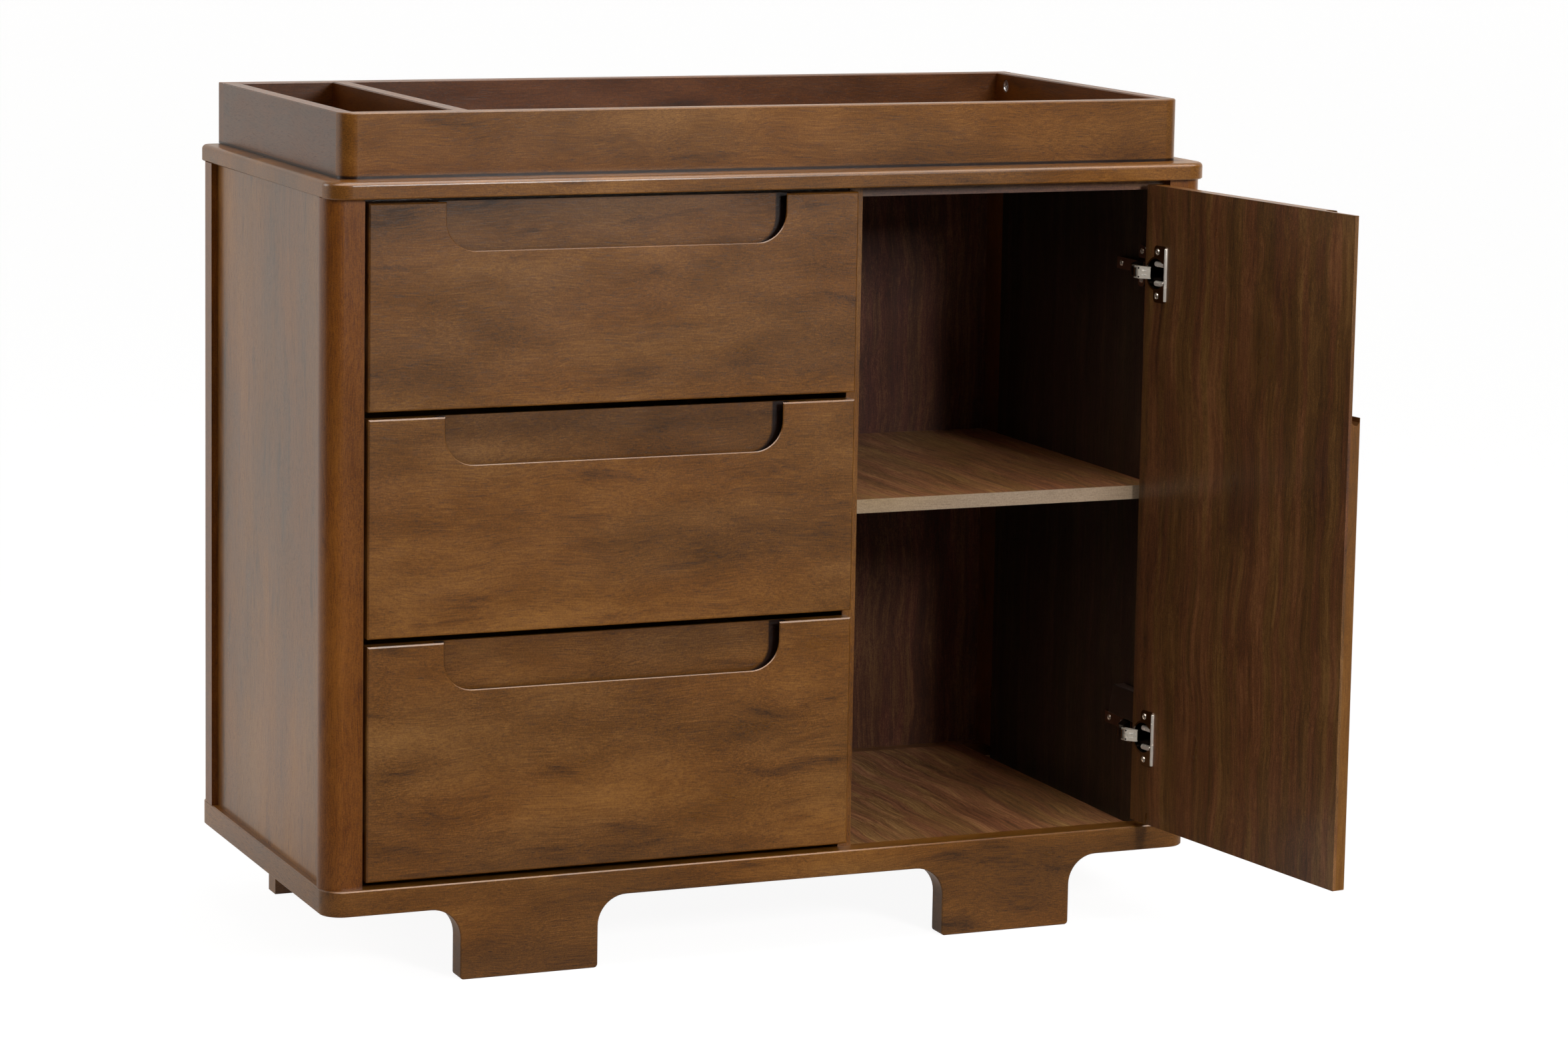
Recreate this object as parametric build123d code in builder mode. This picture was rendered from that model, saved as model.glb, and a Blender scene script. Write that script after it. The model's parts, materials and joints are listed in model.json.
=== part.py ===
"""Changing table: a chest with three drawers, a cabinet with a door, and a changing tray on top.

Millimetres, +Z up, the front faces -Y. The origin is on the floor, under the middle of the
carcass. The door is stored open, as the rest pose.
"""
from build123d import *
import os
from math import cos, radians, sin

os.makedirs("parts", exist_ok=True)

# Carcass
width = 1000.0
depth = 470.0
foot_height = 77.0
rail_height = 27.0
rail_thickness = 25.0
rail_corner_radius = 24.0
body_height = 715.0
post_width = 42.0
front_post_depth = 23.0
rear_post_depth = 42.0
post_setback = 8.0
post_radius = 20.0
panel_recess = 7.0
back_thickness = 5.0
back_inset = 20.0
ease = 1.2

# Feet
front_foot_width = 153.0
front_foot_inset = 147.0
foot_fillet = 32.0
foot_corner = 4.0
rear_foot_width = 153.0
rear_foot_inset = 70.0
rear_foot_thickness = 25.0
rear_foot_setback = 12.0

# Top board
top_thickness = 18.0
top_overhang = 5.0
top_front_radius = 25.0
top_rear_radius = 12.0
top_ease = 5.0

# Inner boards
opening_width = 360.0
divider_thickness = 15.0
bottom_thickness = 16.0
batten_thickness = 11.0
batten_lap = 20.0
channel_width = 26.0
stretcher_thickness = 12.0
stretcher_depth = 60.0
shelf_top = 481.5
shelf_thickness = 15.0
shelf_gap = 0.5
swing_room = 2.5
edge_band = 1.0
pin_diameter = 5.0
pin_reach = 8.0
pin_inset = 50.0

# Fronts of the drawers and the door
front_thickness = 16.0
front_inset = 3.0
front_back_gap = 1.0
front_ease = 1.5
front_shares = (213.0, 227.0, 247.0)
top_gap = 5.0
front_gap = 8.0
side_gap = 3.0
centre_gap = 5.0
door_lap = 7.0
base_gap = 7.0

# Finger pulls
pull_width = 376.0
pull_height = 51.0
door_pull_width = 50.0
door_pull_height = 208.0
pull_depth = 11.7
pull_lip = 1.7
pull_groove = 8.3
pull_radius = 32.0
pull_rim = 0.8
pull_bevel = 3.4

# Drawer boxes and slides
box_side = 12.0
box_bottom = 5.0
box_rear_gap = 43.0
box_rise = 12.0
bottom_rise = 10.0
groove_depth = 6.0
slide_height = 45.0
slide_rise = 60.0
slide_sheet = 1.2
slide_setback = 3.0
slide_play = 0.4
slide_widths = {"cabinet": 9.0, "runner": 10.0, "drawer": 12.7}

# Door and hinges
door_open_angle = 97.6
pivot_from_edge = 7.6
pivot_from_face = 0.5
hinge_from_end = 95.5
cup_diameter = 35.0
cup_depth = 11.5
cup_wall = 1.0
cup_edge = 3.5
flange_thickness = 1.2
flange_height = 62.0
flange_near = 17.0
flange_far = 40.0
cup_play = 0.05
flange_corner = 5.0
rim_radius = 18.6
nose_inward = 24.6
nose_behind = 9.9
nose_radius = 3.5
nose_width = 10.0
link_width = 13.0
link_play = 0.3
link_bearing = -60.5
link_bend = (5.0, -3.6)
link_tip = (16.9, -0.2)
link_round = 1.2
link_bead = 0.7
cheek_radius = 3.0
pin_radius = 1.2
pin_play = 0.05
pin_head = 0.8
arm_width = 13.0
arm_sheet = 1.3
arm_rise = 11.0
arm_start = 26.0
arm_end = 87.0
arm_gap = 0.3
knee_reach = (6.0, 18.0)
heel_reach = (4.0, 13.0)
neck_radius = 4.0
plate_thickness = 2.0
plate_short = 4.0
wing_line = 46.5
wing_width = 15.0
wing_length = 46.0
wing_corner = 5.0
damper_width = 16.0
damper_low = 7.5
damper_high = 41.5
damper_front = 9.0
damper_top_back = 61.0
damper_low_back = 71.0
damper_ease = 1.0

# Tray
tray_side_inset = 22.0
tray_front_inset = 31.0
tray_height = 67.0
tray_thickness = 18.0
tray_corner = 17.5
tray_ease = 1.2
compartment = 107.0
cam_diameter = 15.0
cam_depth = 12.5
cam_from_joint = 24.5
cam_from_edge = 14.5
cam_sink = 0.4
cam_play = 0.1

# Places worked out from the sizes above
right = width / 2
front = -depth / 2
rear = depth / 2
rail_top = foot_height + rail_height
body_top = rail_top + body_height
top_surface = body_top + top_thickness
post_front = front + post_setback
post_rear = rear - post_setback
panel_front = post_front + front_post_depth
panel_rear = post_rear - rear_post_depth
back_face = post_rear + back_thickness
wall = right - post_width
rail_inner = right - rail_thickness
divider_right = wall - opening_width
divider_left = divider_right - divider_thickness
door_free_edge = divider_right - door_lap
door_hinge_edge = wall - side_gap
front_face = front + front_inset
front_back = front_face + front_thickness
inner_front = front_back + front_back_gap
shelf_front = inner_front + swing_room
bottom_underside = rail_top - bottom_thickness
door_bottom = rail_top + base_gap
front_top = body_top - top_gap
shared_height = front_top - door_bottom - 2 * front_gap
front_heights = [shared_height * share / sum(front_shares) for share in front_shares]


def middle(span):
    """Half way between the two values of a span."""
    return (span[0] + span[1]) / 2


def board(x, y, z, mode=Mode.ADD):
    """A square-edged board between two values along each axis."""
    with Locations((middle(x), middle(y), middle(z))):
        Box(x[1] - x[0], y[1] - y[0], z[1] - z[0], mode=mode)


def save(part, label):
    """Name a finished piece and write it to its own file."""
    part.label = label
    export_step(part, f"parts/{label}.step")


def mirrored(span, side):
    """The same span on the right (side 1) or the left (side -1)."""
    return tuple(sorted((side * span[0], side * span[1])))


# Base: rails, with the front feet cut in one piece with the front rail
foot_outer = right - front_foot_inset
foot_centre = foot_outer - front_foot_width / 2

with BuildPart() as front_base_rail:
    with BuildSketch(Plane.XZ.offset(-front)) as outline:
        with Locations((0, foot_height + rail_height / 2)):
            Rectangle(width, rail_height)
        with Locations((-foot_centre, rail_top / 2), (foot_centre, rail_top / 2)):
            Rectangle(front_foot_width, rail_top)
        inner_corners = [
            v for v in outline.vertices()
            if abs(v.Y - foot_height) < 0.01 and abs(v.X) < foot_outer + 1
        ]
        fillet(inner_corners, foot_fillet)
        fillet(outline.vertices().group_by(Axis.Y)[0], foot_corner)
    extrude(amount=-rail_thickness)
    uprights = front_base_rail.edges().filter_by(Axis.Z).group_by(Axis.Y)[0].sort_by(Axis.X)
    fillet([uprights[0], uprights[-1]], rail_corner_radius)
    face = front_base_rail.faces().filter_by(Axis.Y).sort_by(Axis.Y)[0]
    chamfer(face.edges(), ease)
save(front_base_rail.part, "front_base_rail")

with BuildPart() as rear_base_rail:
    board((-right, right), (rear - rail_thickness, rear), (foot_height, rail_top))
    uprights = rear_base_rail.edges().filter_by(Axis.Z).group_by(Axis.Y)[-1]
    fillet(uprights, rail_corner_radius)
    face = rear_base_rail.faces().filter_by(Axis.Y).sort_by(Axis.Y)[-1]
    chamfer(face.edges(), ease)
save(rear_base_rail.part, "rear_base_rail")

for side, name in ((-1, "left"), (1, "right")):
    with BuildPart() as side_rail:
        rail_span = (front + rail_thickness, rear - rail_thickness)
        board(mirrored((rail_inner, right), side), rail_span, (foot_height, rail_top))
        outer = side_rail.faces().filter_by(Axis.X).sort_by(Axis.X)[0 if side < 0 else -1]
        chamfer(outer.edges().filter_by(Axis.Y), ease)
    save(side_rail.part, f"{name}_base_rail")

# Rear feet: upright boards under the bottom panel, notched round the battens
rear_foot_back = rear - rail_thickness - rear_foot_setback
rear_foot_span = (rear_foot_back - rear_foot_thickness, rear_foot_back)
floor_edge = wall - channel_width
batten_inner = floor_edge - batten_lap
rear_foot_outer = right - rear_foot_inset
with BuildPart() as rear_feet:
    for side in (-1, 1):
        foot_x = mirrored((rear_foot_outer - rear_foot_width, rear_foot_outer), side)
        notch_x = mirrored((batten_inner, rear_foot_outer), side)
        board(foot_x, rear_foot_span, (0, bottom_underside))
        board(notch_x, rear_foot_span, (foot_height, bottom_underside), Mode.SUBTRACT)
save(rear_feet.part, "rear_feet")

# Posts, each rounded on its outer corner
for side, depth_side, post_depth, name in (
    (-1, -1, front_post_depth, "front_left_post"),
    (1, -1, front_post_depth, "front_right_post"),
    (-1, 1, rear_post_depth, "rear_left_post"),
    (1, 1, rear_post_depth, "rear_right_post"),
):
    with BuildPart() as post:
        with BuildSketch(Plane.XY.offset(rail_top)) as section:
            centre_x = side * (right - post_width / 2)
            centre_y = depth_side * (post_rear - post_depth / 2)
            with Locations((centre_x, centre_y)):
                Rectangle(post_width, post_depth)
            corners = section.vertices().sort_by(lambda v: side * v.X + depth_side * v.Y)
            fillet(corners[-1], post_radius)
        extrude(amount=body_height)
    save(post.part, name)

# Outer side panels between the posts, and the liners that make the inner walls
shelf_underside = shelf_top - shelf_thickness
pin_z = shelf_underside - pin_diameter / 2
pin_places = (inner_front + pin_inset, post_rear - pin_inset)
for side, name in ((-1, "left"), (1, "right")):
    with BuildPart() as side_panel:
        panel_x = mirrored((rail_inner, right - panel_recess), side)
        board(panel_x, (panel_front, panel_rear), (rail_top, body_top))
    save(side_panel.part, f"{name}_side_panel")

for side, name in ((-1, "left"), (1, "right")):
    with BuildPart() as liner:
        liner_x = mirrored((wall, rail_inner), side)
        liner_bottom = foot_height + batten_thickness
        board(liner_x, (panel_front, panel_rear), (liner_bottom, body_top))
        if side > 0:
            for y in pin_places:
                with Locations(Location((wall, y, pin_z), (0, -90, 0))):
                    Hole(pin_diameter / 2, pin_reach)
    save(liner.part, f"{name}_liner")

# Divider, bottom panel, battens and stretchers
inner_depth = (inner_front, post_rear)
with BuildPart() as divider_panel:
    board((divider_left, divider_right), inner_depth, (rail_top, body_top))
    for y in pin_places:
        with Locations(Location((divider_right, y, pin_z), (0, 90, 0))):
            Hole(pin_diameter / 2, pin_reach)
save(divider_panel.part, "divider_panel")

with BuildPart() as bottom_panel:
    board((-floor_edge, floor_edge), (front + rail_thickness, rear - rail_thickness),
          (bottom_underside, rail_top))
save(bottom_panel.part, "bottom_panel")

with BuildPart() as floor_battens:
    for side in (-1, 1):
        board(mirrored((batten_inner, rail_inner), side),
              (front + rail_thickness, rear - rail_thickness),
              (foot_height, foot_height + batten_thickness))
save(floor_battens.part, "floor_battens")

# Top stretchers and the top board
stretcher_underside = body_top - stretcher_thickness
with BuildPart() as top_stretchers:
    for x in ((-wall, divider_left), (divider_right, wall)):
        for y in ((shelf_front, shelf_front + stretcher_depth),
                  (post_rear - stretcher_depth, post_rear)):
            board(x, y, (stretcher_underside, body_top))
save(top_stretchers.part, "top_stretchers")

with BuildPart() as top_board:
    board((-right, right), (front - top_overhang, back_face), (body_top, top_surface))
    for rank, radius in ((0, top_front_radius), (-1, top_rear_radius)):
        fillet(top_board.edges().filter_by(Axis.Z).group_by(Axis.Y)[rank], radius)
    fillet(top_board.faces().sort_by(Axis.Z)[-1].edges(), top_ease)
    chamfer(top_board.faces().sort_by(Axis.Z)[0].edges(), ease)
save(top_board.part, "top_board")

# Tray: five boards standing on the top board
tray_right = right - tray_side_inset
tray_inner = tray_right - tray_thickness
tray_rear = back_face
tray_front = front - top_overhang + tray_front_inset
tray_bottom = top_surface
tray_top = tray_bottom + tray_height
tray_inner_front = tray_front + tray_thickness
tray_inner_rear = tray_rear - tray_thickness

with BuildPart() as tray_front_board:
    board((-tray_right, tray_right), (tray_front, tray_inner_front), (tray_bottom, tray_top))
    uprights = tray_front_board.edges().filter_by(Axis.Z).group_by(Axis.Y)[0]
    fillet(uprights, tray_corner)
    chamfer(tray_front_board.faces().sort_by(Axis.Z)[-1].edges().group_by(Axis.Y)[0], tray_ease)
save(tray_front_board.part, "tray_front")

with BuildPart() as tray_back_board:
    board((-tray_right, tray_right), (tray_inner_rear, tray_rear), (tray_bottom, tray_top))
    top_face = tray_back_board.faces().sort_by(Axis.Z)[-1]
    chamfer(top_face.edges().filter_by(Axis.X), tray_ease)
save(tray_back_board.part, "tray_back")

cam_level = tray_top - cam_from_edge
cam_rows = (tray_inner_front + cam_from_joint, tray_inner_rear - cam_from_joint)
for side, name in ((-1, "left"), (1, "right")):
    with BuildPart() as tray_side:
        board(mirrored((tray_inner, tray_right), side), (tray_inner_front, tray_inner_rear),
              (tray_bottom, tray_top))
        chamfer(tray_side.faces().sort_by(Axis.Z)[-1].edges().filter_by(Axis.Y), tray_ease)
        for y in cam_rows:
            with Locations(Location((side * tray_inner, y, cam_level), (0, -90 * side, 0))):
                Hole(cam_diameter / 2, cam_depth)
    save(tray_side.part, f"tray_{name}")

with BuildPart() as tray_divider:
    divider_face = compartment - tray_inner
    board((divider_face, divider_face + tray_thickness), (tray_inner_front, tray_inner_rear),
          (tray_bottom, tray_top))
    chamfer(tray_divider.faces().sort_by(Axis.Z)[-1].edges().filter_by(Axis.Y), tray_ease)
save(tray_divider.part, "tray_divider")

# Cam fasteners: discs sunk just below the boards' faces
with BuildPart() as tray_cam_locks:
    for side in (-1, 1):
        for y in cam_rows:
            with Locations(Location((side * (tray_inner + cam_sink), y, cam_level), (0, 90 * side, 0))):
                Cylinder(cam_diameter / 2 - cam_play, cam_depth - cam_sink,
                         align=(Align.CENTER, Align.CENTER, Align.MIN))
save(tray_cam_locks.part, "tray_cam_locks")

# Back panel, a little inside the posts' outer faces
back_half_width = right - back_inset
with BuildPart() as back_panel:
    board((-back_half_width, back_half_width), (post_rear, back_face), (rail_top, body_top))
save(back_panel.part, "back_panel")

# Shelf on four pins, with a thin edge band along its front
shelf_x = (divider_right + shelf_gap, wall - shelf_gap)
with BuildPart() as shelf:
    board(shelf_x, (shelf_front + edge_band, post_rear), (shelf_underside, shelf_top))
save(shelf.part, "shelf")

with BuildPart() as shelf_edge_band:
    board(shelf_x, (shelf_front, shelf_front + edge_band), (shelf_underside, shelf_top))
save(shelf_edge_band.part, "shelf_edge_band")

with BuildPart() as shelf_pins:
    for face, turn in ((divider_right, -90), (wall, 90)):
        for y in pin_places:
            with Locations(Location((face, y, pin_z), (0, turn, 0))):
                Cylinder(pin_diameter / 2, 2 * pin_reach)
save(shelf_pins.part, "shelf_pins")


# Finger pulls: a pocket open at the top, undercut behind a thin lip by a wide groove.
# The cutter's top and front are at zero; it runs past every open side.
overrun = 20.0


def finger_pull(x, z, corners):
    """Cutter for a pull spanning x and z, with its last lower corners rounded."""
    with BuildPart() as cutter:
        for level, grow, thickness, finish in (
            (pull_lip, pull_groove, pull_depth - pull_lip, "groove"),
            (-1, pull_rim, 1 + pull_rim, "flare"),
            (0, 0, pull_depth, "pocket"),
        ):
            with BuildSketch(Plane.XZ.offset(-level)) as outline:
                with Locations((middle(x), middle(z))):
                    Rectangle(x[1] - x[0] + 2 * grow, z[1] - z[0] + 2 * grow)
                lower = outline.vertices().group_by(Axis.Y)[0].sort_by(Axis.X)
                fillet(lower[-corners:], pull_radius + grow)
            layer = extrude(amount=-thickness, mode=Mode.PRIVATE)
            ends = layer.faces().filter_by(Axis.Y).sort_by(Axis.Y)
            if finish == "groove":
                layer = layer.chamfer(pull_bevel, None, ends[0].edges() + ends[-1].edges())
            if finish == "flare":
                layer = layer.chamfer(0.99 * pull_rim, None, ends[-1].edges())
            add(layer)
    return cutter.part


drawer_pull = finger_pull((-pull_width / 2, pull_width / 2), (-pull_height, overrun), 2)
door_pull = finger_pull((-overrun, door_pull_width), (-door_pull_height, overrun), 1)

# Drawers: a front, a four-piece box behind it, and a pair of telescopic slides
front_x = (-door_hinge_edge, door_free_edge - centre_gap)
slide_gap = slide_widths["drawer"]
box_x = (slide_gap - wall, divider_left - slide_gap)
box_y = (front_back, post_rear - box_rear_gap)


def channel(x, web, y, z):
    """A C-section slide member spanning x and z, its web the named part of x."""
    board(x, y, z)
    hollow_x = (web[1], x[1]) if web[0] == x[0] else (x[0], web[0])
    board(hollow_x, y, (z[0] + slide_sheet, z[1] - slide_sheet), Mode.SUBTRACT)


def slide_pair(member, level):
    """Both slide members of one kind for the drawer whose slides are centred at a level."""
    step = slide_sheet + slide_play
    near, shrink = {"cabinet": (0, 0), "runner": (step, step), "drawer": (2.5 * step, 2 * step)}[member]
    far = slide_widths[member]
    web = (far - slide_sheet, far) if member == "drawer" else (near, near + slide_sheet)
    half = slide_height / 2 - shrink
    for face, side in ((-wall, 1), (divider_left, -1)):
        x, web_x = (
            tuple(sorted((face + side * a, face + side * b)))
            for a, b in ((near, far), web)
        )
        channel(x, web_x, (front_back + slide_setback, box_y[1] - shrink),
                (level - half, level + half))


front_spans = {}
ceiling = front_top
for name, height in zip(("top", "middle", "bottom"), front_heights):
    front_spans[name] = (ceiling - height, ceiling)
    ceiling -= height + front_gap
slide_levels = {name: span[0] + box_rise + slide_rise for name, span in front_spans.items()}

with BuildPart() as cabinet_slide_members:
    for level in slide_levels.values():
        slide_pair("cabinet", level)
save(cabinet_slide_members.part, "cabinet_slide_members")

for name, span in front_spans.items():
    box_z = (span[0] + box_rise, span[1] - pull_height)
    panel_z = (box_z[0] + bottom_rise, box_z[0] + bottom_rise + box_bottom)
    inner_x = (box_x[0] + box_side, box_x[1] - box_side)
    panel_x = (inner_x[0] - groove_depth, inner_x[1] + groove_depth)

    with BuildPart() as drawer_front:
        board(front_x, (front_face, front_back), span)
        chamfer(drawer_front.faces().sort_by(Axis.Y)[0].edges(), front_ease)
        with Locations((middle(front_x), front_face, span[1])):
            add(drawer_pull, mode=Mode.SUBTRACT)
    save(drawer_front.part, f"{name}_drawer_front")

    for side_name, side_x in (
        ("left", (box_x[0], inner_x[0])),
        ("right", (inner_x[1], box_x[1])),
    ):
        with BuildPart() as drawer_side:
            board(side_x, box_y, box_z)
            board(panel_x, box_y, panel_z, Mode.SUBTRACT)
        save(drawer_side.part, f"{name}_drawer_{side_name}_side")

    with BuildPart() as drawer_back:
        board(inner_x, (box_y[1] - box_side, box_y[1]), (panel_z[1], box_z[1]))
    save(drawer_back.part, f"{name}_drawer_back")

    with BuildPart() as drawer_bottom:
        board(panel_x, box_y, panel_z)
    save(drawer_bottom.part, f"{name}_drawer_bottom")

    with BuildPart() as drawer_members:
        slide_pair("drawer", slide_levels[name])
    save(drawer_members.part, f"{name}_drawer_slide_members")

    with BuildPart() as runners:
        slide_pair("runner", slide_levels[name])
    save(runners.part, f"{name}_slide_runners")

# Door: modelled closed, then swung open about its hinge axis to the stored pose
hinge_levels = (door_bottom + hinge_from_end, front_top - hinge_from_end)
pivot = (door_hinge_edge - pivot_from_edge, front_face + pivot_from_face)
door_axis = Axis((*pivot, 0), (0, 0, 1))
door_x = (door_free_edge, door_hinge_edge)
cup_x = door_hinge_edge - cup_edge - cup_diameter / 2


def swung_open(part):
    """The part turned from the closed pose to the stored pose."""
    return part.rotate(door_axis, door_open_angle)


with BuildPart() as door_panel:
    board(door_x, (front_face, front_back), (door_bottom, front_top))
    chamfer(door_panel.faces().sort_by(Axis.Y)[0].edges(), front_ease)
    with Locations((door_free_edge, front_face, front_top)):
        add(door_pull, mode=Mode.SUBTRACT)
    with Locations(*[Location((cup_x, front_back, z), (-90, 0, 0)) for z in hinge_levels]):
        Hole(cup_diameter / 2 + cup_play, cup_depth + cup_play)
save(swung_open(door_panel.part), "door_panel")

flange_x = (door_hinge_edge - flange_far, door_hinge_edge - flange_near)
with BuildPart() as hinge_cups:
    for level in hinge_levels:
        with BuildSketch(Plane.XZ.offset(-front_back)):
            with Locations((middle(flange_x), level)):
                RectangleRounded(flange_far - flange_near, flange_height, flange_corner)
            with Locations((cup_x, level)):
                Circle(rim_radius)
        extrude(amount=-flange_thickness)
        with BuildSketch(Plane.XZ.offset(-front_back)):
            with Locations((cup_x, level)):
                Circle(cup_diameter / 2)
        extrude(amount=cup_depth)
        with BuildSketch(Plane.XZ.offset(-front_back - flange_thickness)):
            with Locations((cup_x, level)):
                Circle(cup_diameter / 2 - cup_wall)
        extrude(amount=flange_thickness + cup_depth - cup_wall, mode=Mode.SUBTRACT)
save(swung_open(hinge_cups.part), "hinge_cups")

# Hinge plates and arms on the wall; the nose of each arm carries the link's pin
nose = (pivot[0] - nose_inward, pivot[1] + nose_behind)
knee = (nose[0] + knee_reach[0], nose[1] + knee_reach[1])
arm_face = wall - arm_rise
arm_y = (front_back + arm_start, front_back + arm_end)
heel = (arm_face + heel_reach[0], arm_y[0] + heel_reach[1])
plate_face = wall - plate_thickness
plate_y = (arm_y[0] + plate_short, arm_y[1])
wing_y = (front_back + wing_line - wing_width / 2, front_back + wing_line + wing_width / 2)
half_arm = arm_width / 2
half_inside = half_arm - arm_sheet
half_core = half_inside - arm_gap
half_wing = wing_length / 2

with BuildPart() as hinge_plates:
    for level in hinge_levels:
        board((plate_face, wall), wing_y, (level - half_wing, level + half_wing))
    corners = hinge_plates.edges().filter_by(Axis.X)
    fillet(corners, wing_corner)
    for level in hinge_levels:
        board((plate_face, wall), plate_y, (level - half_arm, level + half_arm))
        board((arm_face + arm_sheet + arm_gap, plate_face), (plate_y[0] + 2, plate_y[1] - plate_short),
              (level - half_core, level + half_core))
save(hinge_plates.part, "hinge_plates")

with BuildPart() as hinge_arms:
    for level in hinge_levels:
        mid_plane = Plane.XY.offset(level)
        for start, end, radius, width_here in (
            (nose, knee, nose_radius, nose_width),
            (knee, heel, neck_radius, arm_width),
        ):
            with BuildSketch(mid_plane):
                with Locations(start, end):
                    Circle(radius)
                make_hull()
            extrude(amount=width_here / 2, both=True)
        board((arm_face, plate_face - arm_gap), arm_y, (level - half_arm, level + half_arm))
        board((arm_face + arm_sheet, wall), (arm_y[0], arm_y[1] + 1),
              (level - half_inside, level + half_inside), Mode.SUBTRACT)
        with BuildSketch(mid_plane):
            with Locations(nose):
                Circle(pin_radius)
        extrude(amount=link_width / 2 + pin_head, both=True)
save(hinge_arms.part, "hinge_arms")

# Hinge links: a bent plate with two cheeks round the nose, free at its cup end
bead_centre = (11.35, -3.09)
bead_slope = 16.0
with BuildPart() as hinge_links:
    for level in hinge_levels:
        turn = radians(link_bearing)
        link_plane = Plane((*nose, level), x_dir=(cos(turn), sin(turn), 0), z_dir=(0, 0, 1))
        with BuildSketch(link_plane):
            Circle(cheek_radius)
            with Locations(link_bend, link_tip):
                Circle(link_round)
            make_hull()
        extrude(amount=link_width / 2, both=True)
        with BuildSketch(link_plane):
            Circle(nose_radius + link_play)
            with BuildLine():
                Polyline((-6, 9), (20, 9), (20, -0.6), (link_tip[0], link_tip[1] - 0.2),
                         (link_bend[0], link_bend[1] - 0.35), (-6, -3.8), close=True)
            make_face()
        extrude(amount=nose_width / 2 + link_play, both=True, mode=Mode.SUBTRACT)
        with BuildSketch(link_plane):
            Circle(pin_radius + pin_play)
        extrude(amount=link_width, both=True, mode=Mode.SUBTRACT)
        slope = turn + radians(bead_slope)
        outer = Plane(tuple(link_plane.from_local_coords((*bead_centre, 0))),
                      x_dir=(cos(slope), sin(slope), 0), z_dir=(sin(slope), -cos(slope), 0))
        for offset in (-2, 2):
            with Locations(outer * Location((0, offset, 0))):
                Box(5, 0.9, link_bead)
save(hinge_links.part, "hinge_links")

# Soft-close damper: a plastic housing on the lower hinge's plate, above its arm
with BuildPart() as door_damper:
    with BuildSketch(Plane.YZ.offset(wall - damper_width)):
        with BuildLine():
            low = hinge_levels[0] + damper_low
            high = hinge_levels[0] + damper_high
            Polyline((front_back + damper_front, low), (front_back + damper_front, high),
                     (front_back + damper_top_back, high), (front_back + damper_low_back, low), close=True)
        make_face()
    extrude(amount=damper_width - plate_thickness)
    chamfer(door_damper.faces().filter_by(Axis.X).sort_by(Axis.X)[0].edges(), damper_ease)
save(door_damper.part, "door_damper")
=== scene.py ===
import json
from math import cos, pi, radians, sin

import bmesh
import bpy
from mathutils import Matrix, Vector


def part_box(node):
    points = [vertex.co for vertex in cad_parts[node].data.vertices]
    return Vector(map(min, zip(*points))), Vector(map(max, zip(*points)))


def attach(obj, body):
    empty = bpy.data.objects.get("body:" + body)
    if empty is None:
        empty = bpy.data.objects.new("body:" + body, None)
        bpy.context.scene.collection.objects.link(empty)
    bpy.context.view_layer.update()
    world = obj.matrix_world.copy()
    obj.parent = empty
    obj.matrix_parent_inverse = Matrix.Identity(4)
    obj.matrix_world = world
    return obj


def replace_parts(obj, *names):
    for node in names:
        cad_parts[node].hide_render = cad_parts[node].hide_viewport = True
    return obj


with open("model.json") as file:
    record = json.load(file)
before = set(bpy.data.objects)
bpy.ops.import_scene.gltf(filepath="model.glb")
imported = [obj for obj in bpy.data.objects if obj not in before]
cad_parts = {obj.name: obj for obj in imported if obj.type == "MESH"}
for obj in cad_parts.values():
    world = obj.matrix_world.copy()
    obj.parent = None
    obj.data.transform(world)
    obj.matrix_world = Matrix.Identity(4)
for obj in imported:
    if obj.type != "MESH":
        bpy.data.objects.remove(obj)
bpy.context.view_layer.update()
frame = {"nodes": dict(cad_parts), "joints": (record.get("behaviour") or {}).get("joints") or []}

nodes = frame["nodes"]


# Base: four rails of pale hardwood joined at the corners, the front one cut in one piece with its feet.
# The walnut-brown stain takes unevenly, in soft dark clouds with golden patches between them, and the
# open ends of the fibres show as short dark dashes. A satin lacquer seals it.

class Signal:
    """One value on its way through a finish; sums written with it add the nodes that work them out."""

    def __init__(self, finish, socket):
        self.finish = finish
        self.socket = socket

    def __add__(self, other):
        return self.finish.sum("ADD", self, other)

    def __radd__(self, other):
        return self.finish.sum("ADD", other, self)

    def __sub__(self, other):
        return self.finish.sum("SUBTRACT", self, other)

    def __rsub__(self, other):
        return self.finish.sum("SUBTRACT", other, self)

    def __mul__(self, other):
        return self.finish.sum("MULTIPLY", self, other)

    def __rmul__(self, other):
        return self.finish.sum("MULTIPLY", other, self)

    def band(self, low, high, start=0.0, end=1.0):
        """Rise smoothly from start to end while this value goes from low to high."""
        return self.finish.add("ShaderNodeMapRange", {"interpolation_type": "SMOOTHSTEP"}, {
            "Value": self, "From Min": low, "From Max": high, "To Min": start, "To Max": end})


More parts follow.
